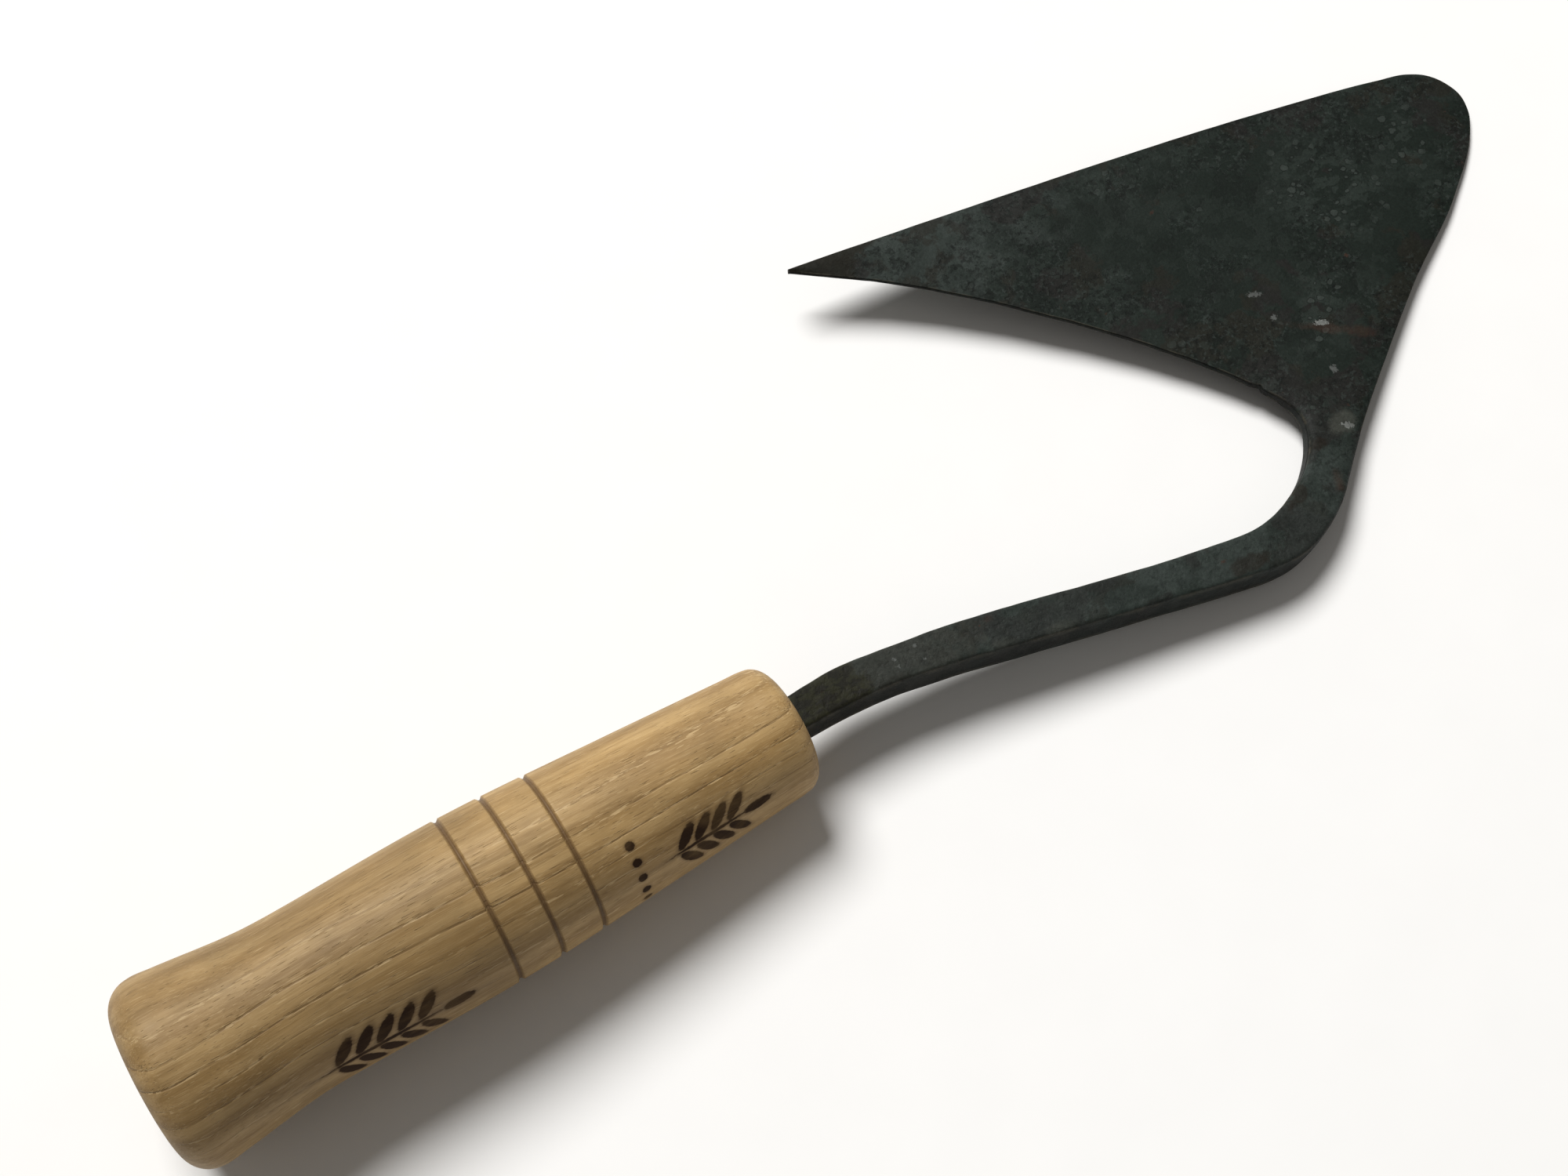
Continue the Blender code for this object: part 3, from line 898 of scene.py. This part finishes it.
    def blisters(self):
        """Crowded small pale islands with dark seams."""
        crowd = self.blistering()
        warp = self.noise(self.place, (0.9, 0.9, 0.9), output="Color")
        warp = self.vector("MULTIPLY", self.vector("SUBTRACT", warp, (0.5, 0.5, 0.5)), (1.1, 1.1, 1.1))
        warped = self.vector("MULTIPLY", self.vector("ADD", self.place, warp), (0.42, 0.50, 0.3))
        away, number = self.cells(warped)
        island = self.math("SUBTRACT", self.spread(number, -0.02, 0.48), away)
        blotch = self.noise(self.place, (0.30, 0.40, 0.4), 4.0, 0.55)
        self.coat(SCALE_PALE, self.rise(blotch, 0.52, 0.55), crowd, 0.70)
        self.blister = self.both(self.rise(island, 0.0, 0.05), crowd)
        seam = self.both(self.rise(island, -0.10, -0.03), self.rise(island, 0.02, -0.01), crowd)
        self.coat(SCALE_BLISTER, self.blister, 0.50)
        self.coat(SCALE_DARK, seam, 0.60)

    def rubs_and_stains(self):
        """Rubbed places, and dark stains round the hook."""
        self.coat(RUBBED_TINT, self.spots(RUBBED, self.ragged, 3.0, -0.6, 1.6), 0.62)
        self.coat(STAIN, self.spots(STAINS, self.ragged, 3.0, -0.4, 0.5), 0.60)

    def rust(self):
        """A few freckles, mostly near the edges, and the marks listed above."""
        freckle = self.noise(self.place, (0.17, 0.19, 0.4), 6.0, 0.6)
        freckle = self.rise(self.plus(freckle, self.border, 0.05), 0.72, 0.76)
        streak = self.spots(RUST_MARKS, self.ragged, 2.2, -0.5, 0.9)
        self.coat(RUST, self.math("MAXIMUM", freckle, self.both(streak, 0.62)), 0.52)

    def oiled_ends(self):
        """Olive next to the wood, and a darker oily brown over the blade's tip."""
        near = self.rise(self.plus(self.reach, self.ragged, 9.0), 16.0, 13.5)
        smear = self.noise(self.place, (0.45, 0.8, 0.6), 5.0, 0.6)
        oil = self.blend(self.rise(smear, 0.44, 0.58), SCALE_OILED, SCALE_OLIVE)
        self.coat(oil, near, 0.85)
        end = self.rise(self.plus(self.tip, self.ragged, 9.0), 17.5, 14.0)
        self.coat(SCALE_OILED, end, 0.86)

    def painted_dark_sides(self):
        """Painted shade: the bar's sides and the blade's edges are painted darker than its faces."""
        # painted shade on the walls, mauve and dark in patches
        side = self.math("SUBTRACT", 1.0, self.face)
        side_shade_noise = self.noise(self.place, (0.28, 0.28, 0.15), 5.0, 0.6)
        self.coat(SCALE_MAUVE, side, self.rise(side_shade_noise, 0.46, 0.52), 0.40)
        self.coat(SCALE_DARK, side, self.spread(self.rise(side_shade_noise, 0.54, 0.47), 0.12, 0.62))

    def worn_and_highlit_arrises(self):
        """A pale line, here and there, along each arris: partly worn scale, partly painted highlight."""
        pale_arris_stretches = self.rise(self.noise(self.place, (0.22, 0.22, 0.2), 4.0, 0.6), 0.42, 0.58)
        self.coat(WORN_AND_HIGHLIGHT, self.rise(self.rim, 0.45, 0.10), pale_arris_stretches, self.face, 0.55)

    def chips(self):
        """A few chips where the blade opens out: old grey ones, and two down to bright metal."""
        crumbled = self.spread(self.grit, -1.0, 1.0)
        self.coat(DULL, self.spots(DULL_CHIPS, crumbled, 1.1, 0.0, 0.35), 0.8)
        self.chip = self.spots(CHIPS, crumbled, 1.1, 0.0, 0.22)
        self.coat(BARE, self.chip, 0.9)

    def relief(self):
        """Grit and pits all over, and the depth of what the layers show."""
        pit = self.noise(self.place, (0.75, 0.75, 0.75))
        self.stand(self.both(self.rise(pit, 0.52, 0.66), self.on_bar), -0.05)
        self.stand(self.grit, 0.07)
        self.stand(self.mottle, 0.20)
        self.stand(self.blister, 0.05)
        self.stand(self.crack, -0.05)
        self.stand(self.chip, -0.06)


def forge_scale():
    """Forge scale, then what has worn or chipped it."""
    steel = ForgeScale()
    steel.patches(SCALE_PATCHES, 0.0)
    steel.bloom()
    steel.brown_scale()
    steel.broken_scale()
    steel.blisters()
    steel.rubs_and_stains()
    steel.rust()
    steel.oiled_ends()
    steel.painted_dark_sides()
    steel.worn_and_highlit_arrises()
    steel.chips()
    steel.colour = steel.blend(0.62, steel.colour, steel.grit, "OVERLAY")
    steel.relief()
    steel.feed(steel.surface.inputs["Metallic"], steel.both(steel.chip, 0.8))
    return steel.finish(steel.spread(steel.mottle, 0.42, 0.75), 0.8, 0.12)


# ---------------------------------------------------------------- stage

BACKDROP = (0.925, 0.920, 0.910)  # the studio's far wall as the camera sees it
FILL_LIGHT = (0.170, 0.163, 0.153)  # the same wall as it lights the tool
BLACK = (0.0, 0.0, 0.0)
FLOOR_SIZE = 24.0
FADE_FROM, FADE_TO = 0.9, 2.6  # the floor turns into the backdrop between these distances from the tool
KEY_PLACE = (-0.10, 2.62, 3.60)
KEY_SIZE, KEY_POWER, KEY_COLOUR = 2.1, 240.0, (1.0, 0.99, 0.975)


def floor_material():
    """A pale matt surface that melts into the backdrop far behind the tool."""
    shader = Shader("pale_floor")
    place = shader.node("ShaderNodeTexCoord").outputs["Object"]
    grain = shader.noise(place, (60.0, 60.0, 60.0))
    shader.colour = shader.blend(grain, (0.90, 0.90, 0.895), (0.93, 0.93, 0.925))
    shader.height = grain
    far = shader.rise(shader.vector("LENGTH", place, output="Value"), FADE_FROM, FADE_TO)
    shader.coat(BLACK, far)
    shader.feed(shader.surface.inputs["Emission Color"], shader.blend(far, BLACK, BACKDROP))
    shader.feed(shader.surface.inputs["Emission Strength"], 1.0)
    return shader.finish(0.9, 0.02, shader.spread(far, 0.2, 0.0))


def floor():
    bm = bmesh.new()
    bmesh.ops.create_grid(bm, x_segments=2, y_segments=2, size=FLOOR_SIZE / 2.0)
    mesh = bpy.data.meshes.new("floor")
    bm.to_mesh(mesh)
    bm.free()
    mesh.materials.append(floor_material())
    ground = bpy.data.objects.new("floor", mesh)
    bpy.context.scene.collection.objects.link(ground)


def key_light():
    data = bpy.data.lights.new("key", "AREA")
    data.shape = "DISK"
    data.size = KEY_SIZE
    data.energy = KEY_POWER
    data.color = KEY_COLOUR
    lamp = bpy.data.objects.new("key", data)
    bpy.context.scene.collection.objects.link(lamp)
    lamp.location = KEY_PLACE
    lamp.rotation_mode = "QUATERNION"
    lamp.rotation_quaternion = (-Vector(KEY_PLACE)).to_track_quat("-Z", "Y")


def backdrop():
    """One even wall all round; the camera sees it brighter than it lights the tool."""
    world = bpy.data.worlds.new("studio")
    world.use_nodes = True
    nodes, links = world.node_tree.nodes, world.node_tree.links
    seen = nodes.new("ShaderNodeLightPath").outputs["Is Camera Ray"]
    wall = nodes.new("ShaderNodeMixRGB")
    wall.inputs["Color1"].default_value = (*FILL_LIGHT, 1.0)
    wall.inputs["Color2"].default_value = (*BACKDROP, 1.0)
    links.new(seen, wall.inputs["Fac"])
    links.new(wall.outputs[0], nodes["Background"].inputs["Color"])
    bpy.context.scene.world = world


def camera():
    data = bpy.data.cameras.new("camera")
    data.lens = LENS
    data.sensor_width = SENSOR
    data.clip_start = 0.01
    view = bpy.data.objects.new("camera", data)
    bpy.context.scene.collection.objects.link(view)
    back = -Vector(CAMERA_AIM).normalized()
    right = Vector(CAMERA_UP).cross(back).normalized()
    turn = Matrix((right, back.cross(right), back)).transposed().to_4x4()
    view.matrix_world = Matrix.Translation(CAMERA_PLACE) @ turn
    bpy.context.scene.camera = view


# ---------------------------------------------------------------- the scene


def dress(piece, node, material):
    piece.data.transform(piece.matrix_world)
    piece.matrix_world = Matrix.Identity(4)
    piece.data.materials.clear()
    piece.data.materials.append(material)
    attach(piece, "root")
    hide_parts(node)


handle_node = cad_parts["handle"]
head_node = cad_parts["forged_head"]
placed = tool_matrix(cad_points(handle_node), cad_points(head_node))
handle_solid = in_tool_axes(handle_node, placed)
head_solid = in_tool_axes(head_node, placed)
grip_length = max(vert.co.x for vert in handle_solid.verts)
dress(turned_handle(handle_solid, placed), "handle", ash_wood())
dress(forged_head(head_solid, placed, grip_length), "forged_head", forge_scale())
handle_solid.free()
head_solid.free()
backdrop()
key_light()
floor()
camera()
bpy.context.scene.view_settings.view_transform = "Standard"
